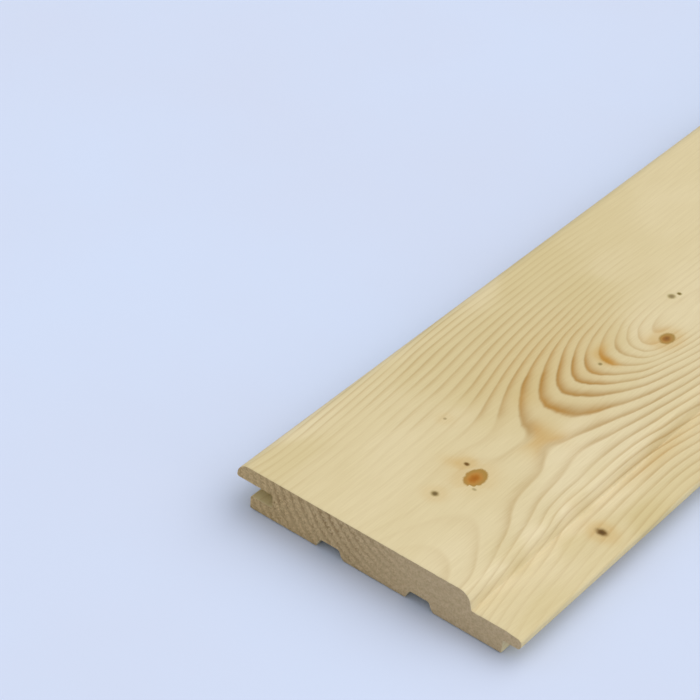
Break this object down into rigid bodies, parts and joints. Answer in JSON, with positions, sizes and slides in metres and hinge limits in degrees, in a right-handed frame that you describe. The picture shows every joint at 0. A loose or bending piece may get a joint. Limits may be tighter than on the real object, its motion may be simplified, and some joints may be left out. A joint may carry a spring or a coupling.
{
  "type": "tongue and groove board",
  "caption": "Softwood lining board with a tongue, a groove, rounded face edges that leave a channel when laid, and relief grooves in the back.",
  "frame": {"origin": "middle of the length and of the width over the tongue, on the plane of the back", "axes": "+X across the board towards the tongue, +Y along the board, +Z out of the face"},
  "size_m": [0.095, 2, 0.014],
  "materials": {
    "softwood": "planed"
  },
  "bodies": {
    "root": {"board": "softwood"}
  },
  "joints": []
}
